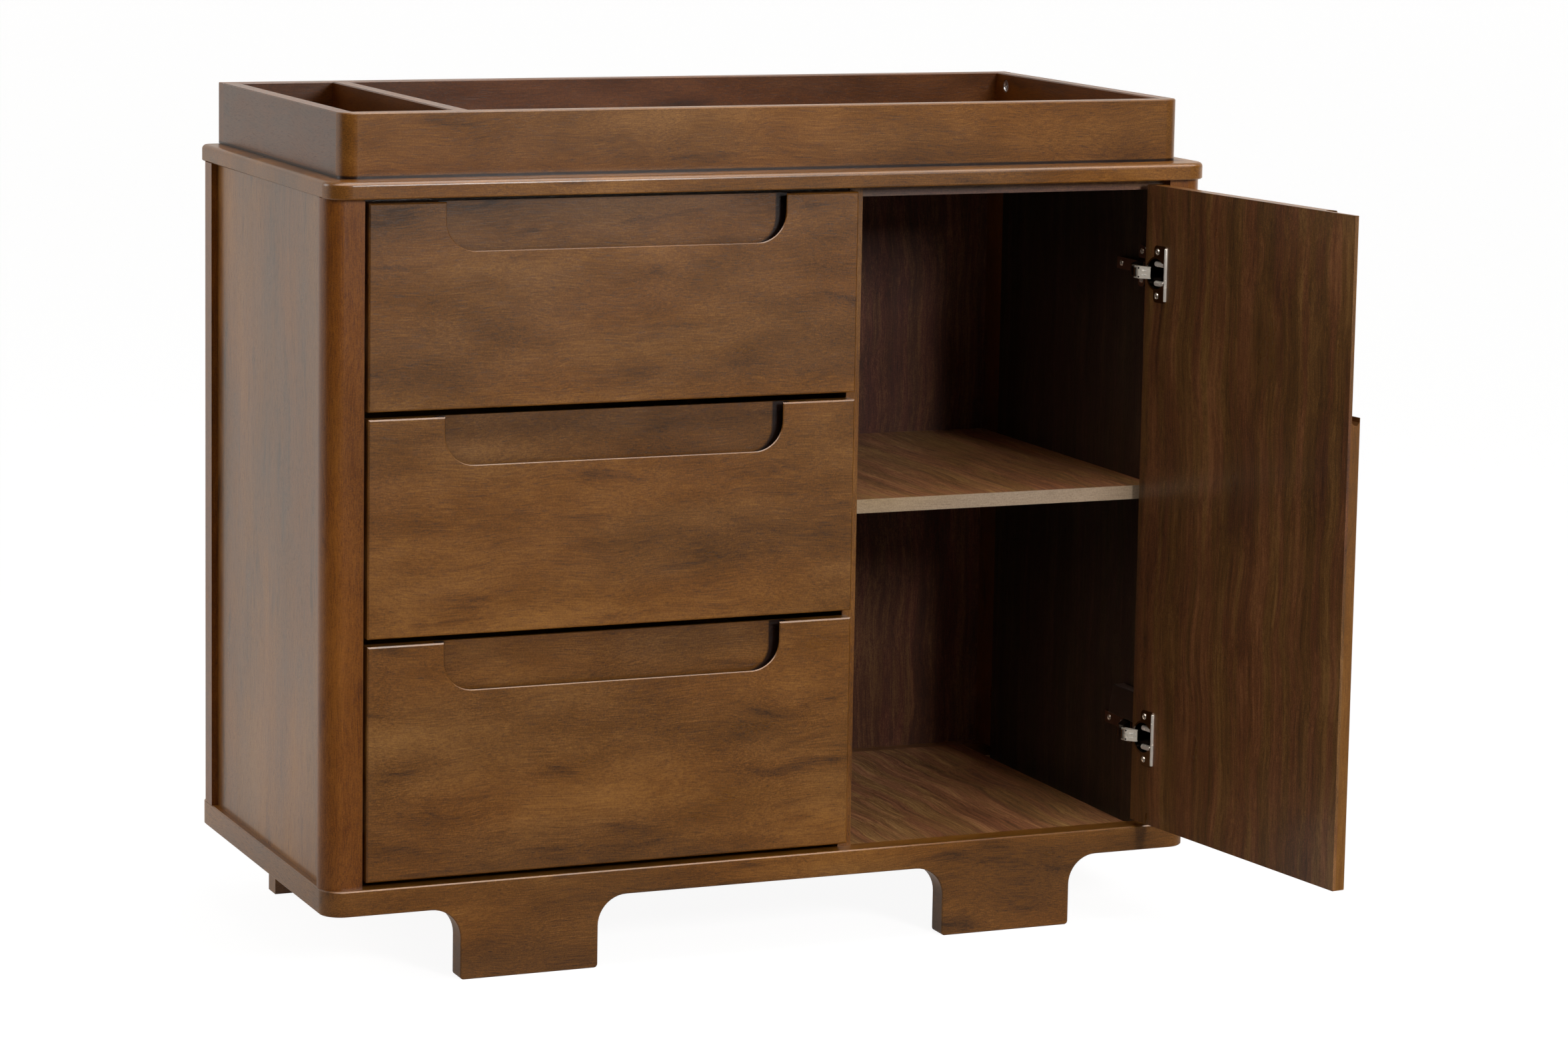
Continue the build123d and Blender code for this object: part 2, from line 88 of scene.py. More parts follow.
class Finish:
    """A material with one Principled shader, to which nodes are added and joined."""

    def __init__(self, name):
        self.material = bpy.data.materials.new(name)
        self.material.use_nodes = True
        self.tree = self.material.node_tree
        self.shader = self.tree.nodes["Principled BSDF"]

    def add(self, kind, settings, inputs, output=0):
        """Add a node, set it up, feed its sockets, and hand back one of its outputs."""
        node = self.tree.nodes.new(kind)
        for key, value in settings.items():
            if key == "stops":
                while len(node.color_ramp.elements) < len(value):
                    node.color_ramp.elements.new(0.5)
                for element, (place, colour) in zip(node.color_ramp.elements, value):
                    element.position = place
                    element.color = (*colour, 1)
            else:
                setattr(node, key, value)
        for key, value in inputs.items():
            self.feed(node.inputs[key], value)
        return Signal(self, node.outputs[output])

    def feed(self, socket, value):
        if isinstance(value, Signal):
            self.tree.links.new(value.socket, socket)
        else:
            socket.default_value = value

    def sum(self, operation, first, second=0.0):
        return self.add("ShaderNodeMath", {"operation": operation}, {0: first, 1: second})

    def mix(self, factor, first, second, blend="MIX"):
        """Lay the second colour over the first as far as the factor says."""
        return self.add("ShaderNodeMix", {"data_type": "RGBA", "blend_type": blend}, {
            0: factor, 6: first, 7: second}, 2)

    def ray(self, kind):
        """One where a ray is of this kind, and nought elsewhere."""
        return self.add("ShaderNodeLightPath", {}, {}, f"Is {kind} Ray")

    def axis(self, place, letter):
        """How far along X, Y or Z a place is."""
        return self.add("ShaderNodeSeparateXYZ", {}, {0: place}, letter)

    def surface(self, **values):
        """Set or feed the shader's own sockets; an underscore stands for a space."""
        for key, value in values.items():
            self.feed(self.shader.inputs[key.replace("_", " ")], value)

    def noise(self, source, size, detail=2.0, bend=0.0, offset=(0, 0, 0), output=0):
        """Noise whose features are about size metres along each axis."""
        spot = self.add("ShaderNodeMapping", {}, {
            "Vector": source, "Location": offset, "Scale": [1 / length for length in size]})
        return self.add("ShaderNodeTexNoise", {}, {
            "Vector": spot, "Scale": 1.0, "Detail": detail, "Roughness": 0.55,
            "Distortion": bend}, output)


def linear(shade):
    """A shade written as screen values, as linear light."""
    return [((c / 255 + 0.055) / 1.055) ** 2.4 for c in shade]


def stain_shades(dark, middle, light):
    """Three shades, written as screen values, as the stops of a ramp."""
    return [(place, linear(shade)) for place, shade in zip((0.1, 0.5, 0.9), (dark, middle, light))]


walnut_stain = stain_shades((60, 38, 20), (108, 68, 24), (146, 101, 46))
LONG, DEEP, UPRIGHT = range(3)

# Each feature of the grain: its length and breadth in metres, and how much fine detail it has.
grain_features = {
    "sweep": (0.42, 0.15, 1.0), "clouds": (0.095, 0.040, 1.5), "bands": (0.45, 0.022, 2.0),
    "streaks": (0.16, 0.006, 2.0), "fibres": (0.030, 0.0009, 2.0), "lines": (0.30, 0.0022, 2.0),
}
plain_grain = {"sweep": 0.8, "clouds": 0.45, "bands": 0.25, "fibres": 0.70, "smudges": 0.32}
streaky_grain = {
    "sweep": 0.35, "clouds": 0.15, "bands": 0.75, "streaks": 0.55, "lines": 0.35, "fibres": 0.6,
}
full_lacquer = 0.15
# Painted shade: the colour that the painted shade of grooves and seams multiplies into the wood.
painted_shade_tint = (0.05, 0.03, 0.02, 1)


def stained_wood(name, along, seed, shades=walnut_stain, figure=plain_grain, gloss=0.30, shine=0.45,
                 shade_of=None, faced=None):
    """Stained wood whose grain runs along one axis; the seed picks where on the log it was cut.

    The figure says how strongly each feature of the grain shows. shade_of, when given, takes the finish
    and its place and tells how much painted shade falls there, in a groove or seam; painted shade darkens
    the colour and takes off the lacquer coat. faced tells in the same way where a veneered board shows
    its outer face, which is stained evenly like the case.
    """
    wood = Finish(name)
    place = wood.add("ShaderNodeTexCoord", {}, {}, "Object")
    offset = Vector((3.1, 7.7, 5.3)) * seed

    def grain(length, breadth, detail, bend=0.0, source=place):
        size = [breadth] * 3
        size[along] = length
        return wood.noise(source, size, detail, bend, offset)

    drift = wood.noise(place, (0.14, 0.14, 0.14), 1.0, 0.0, offset, "Color")
    sway = wood.add("ShaderNodeVectorMath", {"operation": "MULTIPLY_ADD"},
                    {0: drift, 1: (0.03, 0.03, 0.03), 2: place})
    parts = {
        part: grain(*grain_features[part], source=place if part in ("sweep", "clouds") else sway)
        for part in grain_features if part in figure
    }
    flecks = grain(0.014, 0.0007, 1.0, source=sway).band(0.58, 0.70)
    speckle = wood.noise(place, (0.0013, 0.0013, 0.0013), 1.0)
    tone = 0.50 + (speckle - 0.5) * 0.5 - flecks * 0.18
    for part, strength in parts.items():
        tone = tone + (strength - 0.5) * figure[part]
    if "smudges" in figure:
        smudges = grain(0.120, 0.020, 3.0, 0.3, sway).band(0.56, 0.80)
        tone = tone - smudges * figure["smudges"]
    colour = wood.add("ShaderNodeValToRGB", {"stops": shades}, {"Fac": tone})
    if "streaks" in figure:
        warm = grain(0.50, 0.016, 2.0, 0.2, sway).band(0.40, 0.60)
        olive, russet = (0.96, 1.02, 0.82, 1), (1.06, 0.94, 0.95, 1)
    else:
        warm = (grain(0.22, 0.08, 0.0) * 0.6 + parts["sweep"] * 0.4).band(0.38, 0.62)
        olive, russet = (1.05, 0.97, 0.72, 1), (1.0, 1.0, 1.0, 1)
    colour = wood.mix(1.0, colour, wood.mix(warm, russet, olive), "MULTIPLY")
    if faced:
        evened = 0.5 + (tone - 0.5) * 0.6
        even = wood.add("ShaderNodeValToRGB", {"stops": walnut_stain}, {"Fac": evened})
        colour = wood.mix(faced(wood, place), colour, even)
    lacquer = full_lacquer
    # Painted shade: darken the colour and take off the lacquer coat as far as shade_of says.
    if shade_of:
        shade = shade_of(wood, place)
        colour = wood.mix(shade, colour, painted_shade_tint, "MULTIPLY")
        lacquer = full_lacquer - shade * full_lacquer
    height = parts["fibres"] * 0.5 - flecks * 0.6
    relief = wood.add("ShaderNodeBump", {}, {"Height": height, "Strength": 0.11, "Distance": 0.0002})
    wood.surface(Base_Color=colour, Roughness=gloss + (parts["clouds"] - 0.5) * 0.12 + flecks * 0.10,
                 Specular_IOR_Level=shine, Coat_Weight=lacquer, Coat_Roughness=0.12, Normal=relief)
    return wood.material


def dress(node, material):
    """Give a carried-over part its finish."""
    slots = nodes[node].data.materials
    slots.clear()
    slots.append(material)


for seed, (node, along) in enumerate((
    ("front_base_rail", LONG), ("rear_base_rail", LONG), ("left_base_rail", DEEP),
    ("right_base_rail", DEEP), ("rear_feet", LONG),
)):
    dress(node, stained_wood(f"stain {node}", along, seed + 1, shine=0.38))


# Top board and tray: the tray is four boards joined at the corners, with a divider between two of them,
# screwed down on the solid top board. Its back, side and divider boards are stained darker than the
# case as painted shade of the tray's shaded inside. Painted shade darkens the boards' foot in the fine
# seam under them, and a painted shadow lies on the top board along their outer edge.

tray_near, tray_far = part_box("tray_front"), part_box("tray_back")
seam = tray_near[0][2]
tray_half = tray_near[1][0]
tray_middle = (tray_near[0][1] + tray_far[1][1]) / 2


def seam_shade(wood, place):
    """Painted shade in the seam: full at the boards' foot, and gone 4 mm above it."""
    return wood.axis(place, "Z").band(seam + 0.0019, seam + 0.0038, 1.0, 0.0)


def foot_shade(wood, place):
    """Painted shadow on the top board: full at the tray's outer edge, gone 8 mm outside it and under the
    boards.
    """
    across = wood.sum("ABSOLUTE", wood.axis(place, "X")) - tray_half
    deep = wood.sum("ABSOLUTE", wood.axis(place, "Y") - tray_middle) - (tray_far[1][1] - tray_middle)
    outside = wood.sum("MAXIMUM", across, deep)
    return outside.band(0.0005, 0.0080, 0.85, 0.0) * outside.band(-0.0120, -0.0080)


dress("top_board", stained_wood("stain top_board", LONG, 6, shine=0.32, shade_of=foot_shade))
# Painted shade: the tray's back, side and divider boards are stained darker for the tray's shaded inside.
shaded_tray_stain = stain_shades((42, 22, 8), (76, 40, 6), (108, 64, 20))
for seed, (node, along) in enumerate((
    ("tray_front", LONG), ("tray_back", LONG), ("tray_left", DEEP), ("tray_right", DEEP),
    ("tray_divider", DEEP),
)):
    stain = walnut_stain if node == "tray_front" else shaded_tray_stain
    dress(node, stained_wood(f"stain {node}", along, seed + 7, stain, shine=0.26, shade_of=seam_shade))


# Fasteners of the tray and the back: the side boards are drawn up by cam discs with a cross recess, and
# the back panel and the tray are held by small zinc-plated screws.

def plated(name, shade, gloss, mottle, grainy, metallic=1.0, touches=()):
    """Plated steel: a faint uneven bloom in the plating, and fine drawn lines where it is grainy.

    Each touch is a function of the finish and its place that tells where the shade beside it lies.
    """
    metal = Finish(name)
    place = metal.add("ShaderNodeTexCoord", {}, {}, "Object")
    bloom = metal.noise(place, (0.006, 0.006, 0.006), 3.0)
    lines = metal.noise(place, (0.0004, 0.011, 0.0004), 2.0)
    level = linear(shade)
    colour = metal.add("ShaderNodeValToRGB", {"stops": [
        (0.25, [c * (1 - mottle) for c in level]), (0.75, level)]}, {"Fac": bloom})
    for touch, touched in touches:
        colour = metal.mix(touch(metal, place), colour, (*linear(touched), 1))
    relief = metal.add("ShaderNodeBump", {}, {"Height": lines, "Strength": grainy, "Distance": 0.0001})
    metal.surface(Base_Color=colour, Metallic=metallic, Normal=relief,
                  Roughness=gloss + (bloom - 0.5) * 0.12 + (lines - 0.5) * (grainy * 0.2))
    return metal.material


zinc = plated("zinc plate", (196, 198, 202), 0.32, 0.18, 0.3)


def cross_head(mesh, place, rings, arm, depth):
    """Add a fastener's head: the radii and heights of its rings, and its cross recess's arm and depth."""
    sides = 24
    taper = 0.62
    rims = []
    for radius, height in rings:
        spot = place @ Matrix.Translation((0, 0, height)) @ Matrix.Rotation(pi / sides, 4, "Z")
        made = bmesh.ops.create_circle(mesh, segments=sides, radius=radius, matrix=spot)
        rims.append([edge for vert in made["verts"] for edge in vert.link_edges
                     if edge.verts[0] == vert])
    half_width = arm * 0.26
    corners = []
    for quarter in range(4):
        turn = Matrix.Rotation(quarter * pi / 2, 4, "Z")
        for x, y in ((arm, -half_width), (arm, half_width), (half_width, half_width)):
            corners.append(mesh.verts.new(place @ turn @ Vector((x, y, rings[0][1]))))
    cross = [mesh.edges.new(ends) for ends in zip(corners, corners[1:] + corners[:1])]
    bmesh.ops.triangle_fill(mesh, use_beauty=True, edges=rims[0] + cross)
    for upper, lower in zip(rims, rims[1:]):
        bmesh.ops.bridge_loops(mesh, edges=upper + lower)
    bmesh.ops.contextual_create(mesh, geom=rims[-1])
    walls = bmesh.ops.extrude_edge_only(mesh, edges=cross)["geom"]
    sunk = [item for item in walls if isinstance(item, bmesh.types.BMVert)]
    sink = Matrix.Translation((0, 0, -depth)) @ Matrix.Diagonal((taper, taper, 1, 1))
    bmesh.ops.transform(mesh, matrix=sink, space=place.inverted(), verts=sunk)
    floor = [item for item in walls
             if isinstance(item, bmesh.types.BMEdge) and not set(item.verts) & set(corners)]
    bmesh.ops.contextual_create(mesh, geom=floor)


def finished(name, mesh, material, body, smooth=0.6):
    """Turn a built mesh into a piece that rides on a body."""
    bmesh.ops.recalc_face_normals(mesh, faces=mesh.faces)
    for edge in mesh.edges:
        edge.smooth = edge.is_manifold and edge.calc_face_angle(0) < smooth
    for face in mesh.faces:
        face.smooth = True
    data = bpy.data.meshes.new(name)
    mesh.to_mesh(data)
    mesh.free()
    data.materials.append(material)
    piece = bpy.data.objects.new(name, data)
    bpy.context.scene.collection.objects.link(piece)
    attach(piece, body)
    return piece


def facing(x, y, z, direction):
    """A place whose +Z points along a direction."""
    turn = Vector(direction).to_track_quat("Z", "Y")
    return Matrix.Translation((x, y, z)) @ turn.to_matrix().to_4x4()


low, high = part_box("tray_cam_locks")
radius = (high[2] - low[2]) / 2
cam_depth = 0.0121
cam_rings = (
    (0.0050, -0.0008), (0.0056, -0.0001), (radius - 0.0004, 0.0), (radius, -0.0004), (radius, -cam_depth),
)
cam_recess = (0.0036, 0.0030)
cams = bmesh.new()
for x, inward in ((low[0], 1), (high[0], -1)):
    for y in (low[1] + radius, high[1] - radius):
        place = facing(x + inward * cam_depth, y, (low[2] + high[2]) / 2, (inward, 0, 0))
        cross_head(cams, place, cam_rings, *cam_recess)
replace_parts(finished("cam_discs", cams, zinc, "carcass"), "tray_cam_locks")

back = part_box("back_panel")
edge_x = back[1][0] - 0.010
divider_x = 0.0905
back_rings = ((0.0024, 0.0011), (0.0030, 0.0009), (0.0034, 0.0004), (0.0035, -0.0002))
back_recess = (0.0019, 0.0008)
places = [(x, z) for x in (-edge_x, edge_x) for z in (0.130, 0.290, 0.4615, 0.633, 0.793)]
places += [(x, z) for x in (-0.30, -0.10, divider_x, 0.28) for z in (0.114, 0.809)]
places += [(divider_x, 0.345), (divider_x, 0.578)]
screws = bmesh.new()
for x, z in places:
    cross_head(screws, facing(x, back[1][1], z, (0, 1, 0)), back_rings, *back_recess)
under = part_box("top_stretchers")
tray_rings = ((0.0026, 0.0024), (0.0034, 0.0021), (0.0038, 0.0012), (0.0038, -0.0002))
recess = (0.0021, 0.0010)
tray_screw_x = 0.340
inset = 0.030
for x in (-tray_screw_x, tray_screw_x):
    for y in (under[0][1] + inset, under[1][1] - inset):
        cross_head(screws, facing(x, y, under[0][2], (0, 0, -1)), tray_rings, *recess)
finished("back_and_tray_screws", screws, zinc, "carcass")


# Case: four corner posts of solid wood with the side panels set between them, and a divider, all with
# their grain upright. The liners inside the walls, the back and the top stretchers are veneered with a
# streakier grain, and their darker stains are painted shade of the dim inside, darkest on the
# right-hand liner.

post_stain = stain_shades((58, 29, 10), (98, 54, 9), (134, 83, 24))
for seed, post in enumerate(("front_left", "front_right", "rear_left", "rear_right")):
    dress(f"{post}_post", stained_wood(
        f"stain {post}_post", UPRIGHT, seed + 20, post_stain, shine=0.36))
for seed, node in enumerate(("left_side_panel", "right_side_panel")):
    dress(node, stained_wood(f"stain {node}", UPRIGHT, seed + 24))

shaded_inner_stain = stain_shades((46, 26, 18), (82, 52, 34), (122, 88, 54))
dress("left_liner", stained_wood("veneer left_liner", UPRIGHT, 30, shaded_inner_stain, streaky_grain, 0.45))
shaded_back_stain = stain_shades((38, 19, 13), (71, 37, 24), (108, 72, 44))
# Painted shade: the right-hand liner's stain is the darkest, for the deep shade on that wall.
shaded_wall_stain = stain_shades((24, 17, 13), (44, 33, 27), (72, 58, 46))
for seed, (node, stain) in enumerate((("back_panel", shaded_back_stain), ("right_liner", shaded_wall_stain))):
    dress(node, stained_wood(f"veneer {node}", UPRIGHT, seed + 31, stain, streaky_grain, 0.45, 0.25))
dress("divider_panel", stained_wood("stain divider_panel", UPRIGHT, 34))
dress("top_stretchers", stained_wood("veneer top_stretchers", LONG, 36, shaded_inner_stain, streaky_grain, 0.45))


# Shelf and cabinet floor: boards veneered with a browner, straighter grain that runs from front to back;
# the shelf's front has a thin edge band, which takes less stain.

board_stain = stain_shades((76, 47, 32), (136, 94, 62), (184, 142, 96))
board_grain = {**streaky_grain, "streaks": 0.8, "lines": 0.75}
for seed, node in enumerate(("shelf", "bottom_panel")):
    dress(node, stained_wood(f"veneer {node}", DEEP, seed + 40, board_stain, board_grain, 0.45, 0.25))
band_stain = stain_shades((112, 94, 74), (146, 126, 104), (172, 152, 128))
faint_grain = {"clouds": 0.15, "bands": 0.2, "fibres": 0.4, "sweep": 0.2}
dress("shelf_edge_band", stained_wood("band shelf_edge_band", LONG, 43, band_stain, faint_grain, 0.45))


# Drawers: each front is one wide board, grain lengthwise, with the finger pull routed out of its top
# edge. The groove behind the pull's lip is painted dark as shade and has no lacquer coat, and a lighter
# painted shade fades down the pocket from under the lip. The boxes are clear-lacquered birch boards on
# zinc-plated slides.

front_low, front_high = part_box("top_drawer_front")
pull_middle = (front_low[0] + front_high[0]) / 2
pull_half = 0.188
pull_radius = 0.032
pull_straight = pull_half - pull_radius
pull_depth = 0.0117
groove_end = pull_radius + 0.0083


def groove_shade(top):
    """Shade for a front whose pull opens at this height.

    Painted shade: full behind the lip, outside the pull's outline, and a lighter painted shade fades down
    the pocket from under the lip.
    """

    def shade(wood, place):
        depth = wood.axis(place, "Y") - front_low[1]
        aside = wood.sum("ABSOLUTE", wood.axis(place, "X") - (pull_middle - 0.002)) - pull_straight
        below = (top - 0.027) - wood.axis(place, "Z")
        corner = wood.add("ShaderNodeCombineXYZ", {}, {
            0: wood.sum("MAXIMUM", aside, 0.0), 1: wood.sum("MAXIMUM", below, 0.0)})
        reach = wood.add("ShaderNodeVectorMath", {"operation": "LENGTH"}, {0: corner}, 1)
        cut = depth.band(pull_depth + 0.0002, pull_depth + 0.0010, 1.0, 0.0)
        across = wood.sum("ABSOLUTE", wood.axis(place, "X") - pull_middle) - pull_straight
        inside = across.band(groove_end + 0.0003, groove_end + 0.0013, 1.0, 0.0)
        within = inside * below.band(0.0450, 0.0500, 1.0, 0.0)
        # Painted shade behind the lip, outside the pull's outline.
        groove = depth.band(0.0020, 0.0030) * within * reach.band(0.0240, 0.0275)
        pocket = depth.band(0.0105, 0.0115) * across.band(0.0300, 0.0330, 1.0, 0.0)
        # Painted shade in the pocket, darkest at its top under the lip.
        pocket_shade = pocket * below.band(-0.0140, 0.0160, 0.32, 0.0)
        return cut * wood.sum("MAXIMUM", groove, pocket_shade)

    return shade


drawers = ("top", "middle", "bottom")
for seed, drawer in enumerate(drawers):
    shade = groove_shade(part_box(f"{drawer}_drawer_front")[1][2])
    dress(f"{drawer}_drawer_front", stained_wood(
        f"stain {drawer} front", LONG, seed + 50, shade_of=shade))

birch_shades = stain_shades((190, 158, 118), (212, 182, 142), (226, 200, 164))
birch = {
    along: stained_wood(f"birch {along}", along, 60 + along, birch_shades, faint_grain, 0.4)
    for along in (LONG, DEEP)
}
for drawer in drawers:
    for part, along in (("left_side", DEEP), ("right_side", DEEP), ("back", LONG), ("bottom", LONG)):
        dress(f"{drawer}_drawer_{part}", birch[along])
    dress(f"{drawer}_drawer_slide_members", zinc)
    dress(f"{drawer}_slide_runners", zinc)
dress("cabinet_slide_members", zinc)
dress("shelf_pins", zinc)
dress("floor_battens", birch[DEEP])


# Door: one board with upright grain, stained like the case outside and streakier inside; its finger pull
# is routed into the free edge's upper corner. It stands open here, turned about the hinges' axis.

swing = next(joint for joint in frame["joints"] if joint["name"] == "door_swing")
pivot = Matrix.Translation(Vector(swing["pos_m"]))
open_angle = radians(97.6)
opened = pivot @ Matrix.Rotation(open_angle, 4, "Z") @ pivot.inverted()
inner_face = opened @ Vector((0, front_high[1], 0))
inwards = opened.to_3x3() @ Vector((0, 1, 0))


def measured(finish, place, direction, start):
    """How far a place lies along a direction from a starting point."""
    run = finish.add("ShaderNodeVectorMath", {"operation": "DOT_PRODUCT"}, {0: place, 1: direction}, 1)
    return run - start.dot(direction)


def outer_part(wood, place):
    """Full from 4 mm under the door's inner face to its outer face."""
    return measured(wood, place, -inwards, inner_face).band(0.0030, 0.0040)


door_stain = stain_shades((54, 36, 26), (102, 67, 40), (146, 104, 64))
dress("door_panel", stained_wood("stain door", UPRIGHT, 71, door_stain, streaky_grain, faced=outer_part))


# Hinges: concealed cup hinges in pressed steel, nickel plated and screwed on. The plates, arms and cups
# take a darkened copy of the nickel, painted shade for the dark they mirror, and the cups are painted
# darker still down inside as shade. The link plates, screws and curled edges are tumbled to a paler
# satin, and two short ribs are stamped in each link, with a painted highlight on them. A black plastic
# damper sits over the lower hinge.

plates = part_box("hinge_plates")
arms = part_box("hinge_arms")
half_wing = 0.023
levels = (plates[0][2] + half_wing, plates[1][2] - half_wing)
wing_y = -0.1695
cup_x = 0.4318
flange_y = front_high[1] + 0.0012
fold = next(joint for joint in frame["joints"] if joint["name"] == "hinge_link_fold")
flange_face = opened @ Vector((cup_x, flange_y, 0))
link_angle = radians(-44.5)
link_along = Vector((cos(link_angle), sin(link_angle), 0))
link_middle = Vector(fold["pos_m"]) + Vector((0.0029, -0.0114, 0))


def from_level(metal, place):
    """How far above or below the nearer hinge's middle a place is."""
    height = metal.axis(place, "Z")
    lower, upper = (metal.sum("ABSOLUTE", height - level) for level in levels)
    return metal.sum("MINIMUM", lower, upper)


def cup_shade(metal, place):
    """Painted shade: nought on the cup's flange and full 4 mm down inside it."""
    return measured(metal, place, -inwards, flange_face).band(0.0014, 0.0040)


def rib_highlights(metal, place):
    """Painted highlight: full on the two short ribs of each link plate."""
    aside = metal.sum("ABSOLUTE", measured(metal, place, link_along, link_middle))
    apart = metal.sum("ABSOLUTE", from_level(metal, place) - 0.00235)
    return aside.band(0.0023, 0.0027, 1.0, 0.0) * apart.band(0.0003, 0.0006, 1.0, 0.0)


def rivet_ends(metal, place):
    """Full on the ends of the rivets that go through each link."""
    aside = measured(metal, place, link_along, link_middle) + 0.0062
    apart = from_level(metal, place) - 0.0048
    return metal.sum("SQRT", aside * aside + apart * apart).band(0.0009, 0.0012, 1.0, 0.0)


# Painted shade: this nickel is darkened below its own colour for the plates, arms and cups.
nickel = plated("bright nickel", (150, 141, 132), 0.12, 0.06, 0.05)
cup_nickel = plated("cup nickel", (150, 141, 132), 0.14, 0.06, 0.05, touches=[(cup_shade, (34, 30, 28))])
satin_nickel = plated("satin nickel", (246, 240, 230), 0.26, 0.05, 0.05, 0.40)
screw_nickel = plated("screw nickel", (236, 229, 218), 0.20, 0.05, 0.05, 0.80)
link_nickel = plated("link nickel", (232, 223, 208), 0.28, 0.05, 0.05, 0.30, [
    (rib_highlights, (255, 252, 246)), (rivet_ends, (22, 19, 17))])
for node, metal in (("hinge_plates", nickel), ("hinge_arms", nickel), ("hinge_links", link_nickel),
                    ("hinge_cups", cup_nickel)):
    dress(node, metal)

hinge_rings = ((0.0024, 0.0009), (0.0030, 0.0008), (0.0035, 0.0003), (0.0036, -0.0004))
wing_screw = 0.016
cup_screw = 0.024
arm_face = plates[1][0] - 0.011
wing_face = plates[1][0] - 0.002
rear_screw_y = arms[1][1] - 0.010
fixed = bmesh.new()
for level in levels:
    for y in (wing_y, rear_screw_y):
        cross_head(fixed, facing(arm_face, y, level, (-1, 0, 0)), hinge_rings, *recess)
for z in (levels[0] - wing_screw, levels[1] - wing_screw, levels[1] + wing_screw):
    cross_head(fixed, facing(wing_face, wing_y, z, (-1, 0, 0)), hinge_rings, *recess)
finished("hinge_wall_screws", fixed, screw_nickel, "carcass")

moving = bmesh.new()
for level in levels:
    for offset in (-cup_screw, cup_screw):
        place = opened @ facing(cup_x, flange_y, level + offset, (0, 1, 0))
        cross_head(moving, place, hinge_rings, *recess)
finished("hinge_cup_screws", moving, screw_nickel, "door")

lying = Matrix.Rotation(pi / 2, 4, "Y")
curls = bmesh.new()
for level in levels:
    for turn, x, y, z, radius, length in (
        (Matrix(), 0.4167, -0.0006, 0.0, 0.0019, 0.0575),
        (lying, 0.4287, -0.0026, -0.0106, 0.0030, 0.0165),
        (lying, 0.4287, -0.0026, 0.0106, 0.0030, 0.0165),
    ):
        spot = opened @ Matrix.Translation((x, flange_y + y, level + z)) @ turn
        made = bmesh.ops.create_cone(curls, cap_ends=True, segments=24, radius1=radius, radius2=radius,
                                     depth=length, matrix=spot)
        rims = [edge for edge in curls.edges if edge.is_manifold and edge.calc_face_angle(0) > 1.2
                and all(vert in made["verts"] for vert in edge.verts)]
        bmesh.ops.bevel(curls, geom=rims, offset=radius * 0.35, segments=3, profile=0.5,
                        affect="EDGES", material=-1)
finished("hinge_curled_edges", curls, satin_nickel, "door")

shell = Finish("black plastic")
place = shell.add("ShaderNodeTexCoord", {}, {}, "Object")
pebble = shell.noise(place, (0.0008, 0.0008, 0.0008), 2.0)
smear = shell.noise(place, (0.02, 0.02, 0.02), 2.0)
shell.surface(
    Base_Color=shell.add("ShaderNodeValToRGB", {"stops": [
        (0.3, (0.014, 0.009, 0.007)), (0.7, (0.024, 0.015, 0.012))]}, {"Fac": smear}),
    Roughness=0.32 + (smear - 0.5) * 0.2,
    Normal=shell.add("ShaderNodeBump", {}, {"Height": pebble, "Strength": 0.15, "Distance": 0.0001}))
dress("door_damper", shell.material)


# Studio: a white floor that runs out of sight under soft lamps. The surround is white behind and beside
# the piece, where the lacquer mirrors it at a slant, and dim in front, behind the camera. A bright panel
# high in front shows only in reflections, and gives the edges that face up their thin bright lines.

white = (1, 1, 1, 1)
mirrored_shade = (1.0, 0.92, 0.84, 1)
paper_white = 1.16
room_light = 0.54
floor_mesh = bpy.data.meshes.new("studio floor")
sweep = bmesh.new()
bmesh.ops.create_grid(sweep, x_segments=1, y_segments=1, size=30)
sweep.to_mesh(floor_mesh)
sweep.free()
floor = bpy.data.objects.new("studio_floor", floor_mesh)
bpy.context.scene.collection.objects.link(floor)
paper = Finish("studio paper")
paper.surface(Base_Color=(0.8, 0.8, 0.8, 1), Roughness=0.9)
direct = paper.ray("Camera")
glossy = paper.ray("Glossy")
through = paper.ray("Transmission")
spot = paper.add("ShaderNodeTexCoord", {}, {}, "Object")
# For reflections the floor glows, brighter towards the back and to the right: painted light that no lamp
# gives.
backwards = paper.axis(spot, "Y").band(-1.0, 1.0, 0.06, 0.80)
sideways = paper.axis(spot, "X").band(1.0, 3.2, 0.0, 0.35)
glow = paper.add("ShaderNodeEmission", {}, {
    "Color": paper.mix(direct, mirrored_shade, white),
    "Strength": direct * paper_white + (glossy + through) * (backwards + sideways)})
mixed = paper.add("ShaderNodeMixShader", {}, {
    0: direct * 0.80 + glossy + through, 1: Signal(paper, paper.shader.outputs[0]), 2: glow})
paper.feed(paper.tree.nodes["Material Output"].inputs["Surface"], mixed)
floor_mesh.materials.append(paper.material)

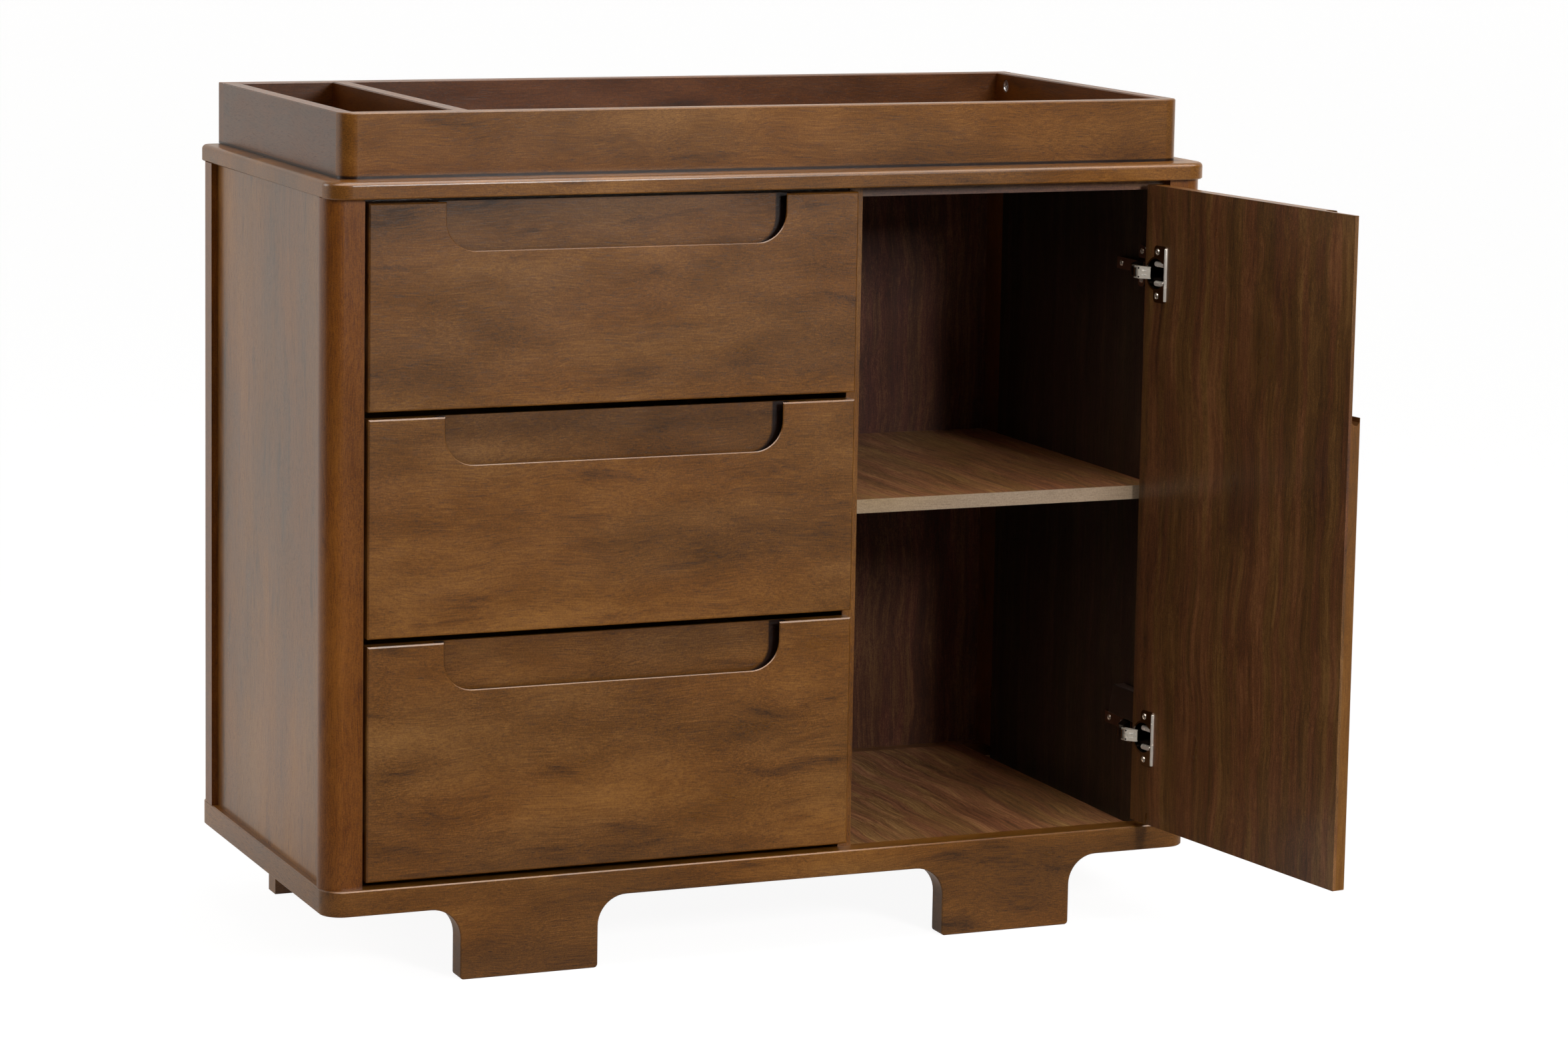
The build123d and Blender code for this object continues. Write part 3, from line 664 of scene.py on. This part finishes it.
world = bpy.data.worlds.new("studio")
world.use_nodes = True
bpy.context.scene.world = world


class Surround(Finish):
    """The air round the studio, whose nodes are added and joined the same way."""

    def __init__(self, tree):
        self.tree = tree


air = Surround(world.node_tree)
seen = air.ray("Camera")
mirrored = air.ray("Glossy") + air.ray("Transmission")
heading = air.add("ShaderNodeTexCoord", {}, {}, "Generated")
far_side = air.axis(heading, "Y").band(-0.3, 0.5, 0.05, 0.80)
high_up = air.axis(heading, "Z").band(0.42, 0.62)
in_front = air.axis(heading, "Y").band(-0.25, 0.05, 9.0, 0.0)
lit = far_side * room_light * (1 - mirrored) + (far_side + high_up * in_front) * mirrored
air.feed(air.tree.nodes["Background"].inputs["Color"], air.mix(mirrored, white, mirrored_shade))
air.feed(air.tree.nodes["Background"].inputs["Strength"], air.sum("MAXIMUM", lit, seen))


def lamp(name, place, size, power):
    """A square soft lamp aimed at the middle of the table."""
    light = bpy.data.lights.new(name, "AREA")
    light.size = size
    light.energy = power
    item = bpy.data.objects.new(name, light)
    item.location = place
    aim = Vector((0, 0, 0.45)) - Vector(place)
    item.rotation_euler = aim.to_track_quat("-Z", "Y").to_euler()
    bpy.context.scene.collection.objects.link(item)


lamp("key lamp", (0.9, -3.4, 1.75), 0.7, 80)
lamp("left lamp", (-3.2, 1.6, 1.6), 1.6, 38)
lamp("top lamp", (0, -0.2, 3.0), 1.2, 24)


# Camera: a long lens a little above the top, well to the left of the front, with a small lens shift.

view = bpy.data.cameras.new("camera")
view.lens = 104.88
view.sensor_width = 36
view.shift_x = 0.05
view.shift_y = -0.08
stands_at = (-1.8807, -4.6095, 1.2697)
turn, tilt, roll = -0.3892, 0.1401, 0.0148
camera = bpy.data.objects.new("camera", view)
camera.matrix_world = (Matrix.Translation(stands_at) @ Matrix.Rotation(turn, 4, "Z")
                       @ Matrix.Rotation(pi / 2 - tilt, 4, "X") @ Matrix.Rotation(roll, 4, "Z"))
bpy.context.scene.collection.objects.link(camera)
bpy.context.scene.camera = camera
bpy.context.scene.view_settings.view_transform = "Standard"
